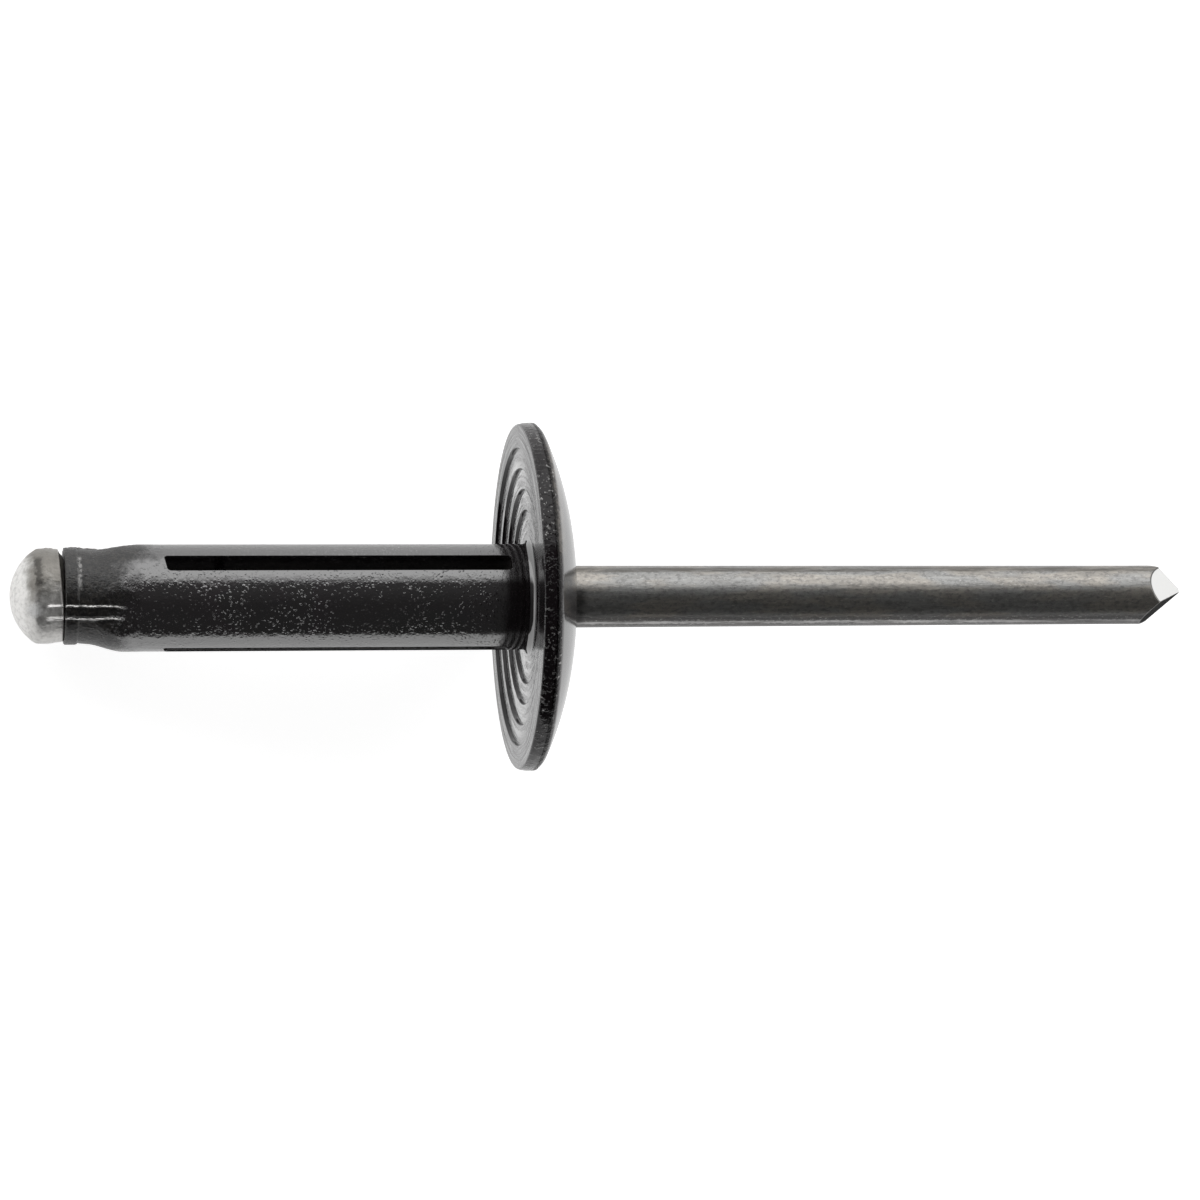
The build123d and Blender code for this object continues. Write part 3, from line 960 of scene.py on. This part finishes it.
def wire_darkening(n, f):
    """Painted dark reflection of the dome at the foot of the wire, and darker on the wire's -Y side near
    the tail.
    """
    # painted dark reflection of the dome at the wire's foot
    foot = n.band(f.along, CROWN - 0.7, CROWN - 0.5, CROWN + 0.25, CROWN + 0.75)
    foot = n.times(foot, n.band(f.side, -1.35, -1.15, 0.15, 0.55))
    under = n.times(n.ramp(f.side, -0.95, -1.20), n.ramp(f.along, 20.0, 28.0))
    return n.times(n.most(n.times(foot, 0.75), n.times(under, 0.6)), n.ramp(f.smudge, 0.30, 0.55, 0.5, 1.0))


def metal_relief(n, f):
    """Fine lines drawn along the wire, and dents in the head."""
    fine = n.noise(n.along(0.35), 14.0, 3.0, 0.6)
    dents = n.times(n.noise(f.place, 2.2, 3.0, 0.55), f.head, 5.0)
    lines = n.plus(n.times(f.streaks, 0.5), n.times(fine, 0.25), n.times(f.mottle, 0.8))
    return n.bump(n.plus(lines, dents), 0.012)


def bare_aluminium():
    """Bare drawn wire with streaks along it, a smudged head with painted light and shade and a painted
    highlight, and bright metal where it is cut; painted shade lies on the wire's -Y side, in the bore and
    on the rough facet of the point, with a painted highlight line and a painted dark reflection at the
    wire's foot.
    """
    mat, n = material("bare_aluminium_look")
    f = metal_fields(n)
    # a painted highlight spot on the head, which is also made less metallic
    spot = highlight_spot(n, f)
    tint = n.mix(f.head, wire_colour(n, f), head_colour(n, f, spot))
    # painted shade on the wire inside the bore
    inside = n.band(f.along, SHELL_END, SHELL_END + 0.2, CROWN - 0.7, CROWN - 0.2)
    tint = n.mix(n.times(inside, 0.9), tint, BORE_SHADE)
    tint = n.mix(n.times(n.attribute("worn"), 0.8), tint, PRESSED_BRIGHT)
    # painted dark reflection at the wire's foot, and darkening near the tail
    tint = n.mix(wire_darkening(n, f), tint, WIRE_DARKENED)
    cut = n.attribute("cut")
    fresh = n.mix(n.ramp(cut, 0.45, 0.90), CUT_ROUGH_SHADED, CUT_FRESH)
    tint = n.mix(n.ramp(cut, 0.05, 0.35), tint, fresh)
    # the rough facet's dark colour and dimmed reflection are painted shade
    dull_shaded_facet = n.band(cut, 0.05, 0.35, 0.50, 0.90)
    shader = n.add("ShaderNodeBsdfPrincipled", {
        "Base Color": tint,
        "Metallic": n.math("SUBTRACT", n.ramp(f.head, 0, 1, 1.0, 0.72), n.times(spot, f.head, 0.5)),
        "Roughness": n.most(n.ramp(cut, 0, 1, 0.37, 0.45), n.ramp(f.head, 0, 1, 0.0, 0.42)),
        "Specular Tint": n.mix(dull_shaded_facet, grey(1), grey(0.15)),
        "Normal": metal_relief(n, f),
    })
    n.add("ShaderNodeOutputMaterial", {"Surface": shader.outputs[0]})
    return mat


# --- Build ---
paint = black_paint()
metal = bare_aluminium()

points, faces, worn = tube_mesh()
tube = mesh_object("shell_tube", points, faces, paint)
set_values(tube, "worn", worn)
points, faces = flange_mesh()
flange = mesh_object("shell_flange", points, faces, paint)
set_values(flange, "worn", np.zeros(len(points)))
points, faces, bright, cut = mandrel_mesh()
mandrel = mesh_object("mandrel_wire", points, faces, metal, crease=25.0)
set_values(mandrel, "worn", bright)
set_values(mandrel, "cut", cut)
for piece, node, slot in ((tube, "rivet_shell", "black_paint"), (flange, "rivet_shell", "black_paint"),
                          (mandrel, "mandrel", "bare_aluminium")):
    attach(piece, "root")
    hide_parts(node)


# --- Stage ---
def floor_material():
    """White floor that also glows for the camera, and is evenly white where a glossy piece mirrors it."""
    mat, n = material("floor_look")
    rays = n.add("ShaderNodeLightPath").outputs
    mirrored = n.most(rays["Is Glossy Ray"], rays["Is Transmission Ray"])
    plain = n.add("ShaderNodeBsdfDiffuse", {"Color": grey(0.8)}).outputs[0]
    glow = n.add("ShaderNodeEmission", {"Color": grey(1), "Strength": 1.0}).outputs[0]
    lift = n.add("ShaderNodeEmission", {"Color": grey(1), "Strength": FLOOR_LIFT}).outputs[0]
    lifted = n.add("ShaderNodeAddShader", {0: plain, 1: lift}).outputs[0]
    ground = n.add("ShaderNodeMixShader", {0: rays["Is Camera Ray"], 1: plain, 2: lifted}).outputs[0]
    surface = n.add("ShaderNodeMixShader", {0: mirrored, 1: ground, 2: glow}).outputs[0]
    n.add("ShaderNodeOutputMaterial", {"Surface": surface})
    return mat


floor_z = cad_box[0][2]
corners = [(-1, -1), (1, -1), (1, 1), (-1, 1)]
floor_mesh = bpy.data.meshes.new("floor")
floor_mesh.from_pydata([(x * FLOOR_HALF, y * FLOOR_HALF, floor_z) for x, y in corners], [], [(0, 1, 2, 3)])
floor_mesh.materials.append(floor_material())
floor = bpy.data.objects.new("floor", floor_mesh)
bpy.context.scene.collection.objects.link(floor)


# --- Light ---
def studio(n):
    """White surroundings with a dark opening on the camera's side, which glossy pieces mirror."""
    def toward(axis):
        inputs = {0: n.add("ShaderNodeTexCoord").outputs["Generated"], 1: tuple(axis)}
        return n.add("ShaderNodeVectorMath", inputs, operation="DOT_PRODUCT").outputs["Value"]

    along = toward(AXIS)
    side = toward(SIDE)
    # degrees about the axis from straight up, towards +Y
    turn = n.times(n.math("ARCTAN2", side, toward(UP)), 180 / math.pi)
    above = n.times(n.ramp(turn, 26, 51, 0.0, 1.6), n.ramp(turn, 80, 125, 1.0, 0.6))
    below = n.ramp(turn, -82, -106, 0.0, 1.65)
    head_end = n.times(n.ramp(along, -0.70, -0.95), n.ramp(side, 0.45, -0.45, 0.85, 1.5))
    tail_end = n.ramp(along, 0.50, 0.85)
    opening = n.ramp(turn, -20, 27, 0.055, 0.105)
    strength = n.most(above, below, head_end, tail_end, opening)
    camera_ray = n.add("ShaderNodeLightPath").outputs["Is Camera Ray"]
    strength = n.add("ShaderNodeMix", {0: camera_ray, 2: strength, 3: 1.0}, data_type="FLOAT").outputs[0]
    ground = n.add("ShaderNodeBackground", {"Color": grey(1), "Strength": strength})
    n.add("ShaderNodeOutputWorld", {"Surface": ground.outputs[0]})


world = bpy.data.worlds.new("studio")
world.use_nodes = True
studio(Nodes(world.node_tree))
bpy.context.scene.world = world

# --- Camera ---
toward = math.cos(VIEW_TILT) * UP - math.sin(VIEW_TILT) * AXIS
level = np.cross(SIDE, toward)
right = math.cos(ROLL) * level - math.sin(ROLL) * SIDE
upward = math.cos(ROLL) * SIDE + math.sin(ROLL) * level
place = ORIGIN + AIM_ALONG * AXIS + DISTANCE * toward + MOVED_LEVEL * level + MOVED_ASIDE * SIDE
camera_data = bpy.data.cameras.new("camera")
camera_data.lens = LENS
camera_data.sensor_width = SENSOR
camera_data.clip_start = NEAR_CLIP
camera = bpy.data.objects.new("camera", camera_data)
columns = (right, upward, toward, place * MM)
camera.matrix_world = Matrix([[column[row] for column in columns] for row in range(3)] + [(0, 0, 0, 1)])
bpy.context.scene.collection.objects.link(camera)
bpy.context.scene.camera = camera

bpy.context.scene.view_settings.view_transform = "Standard"
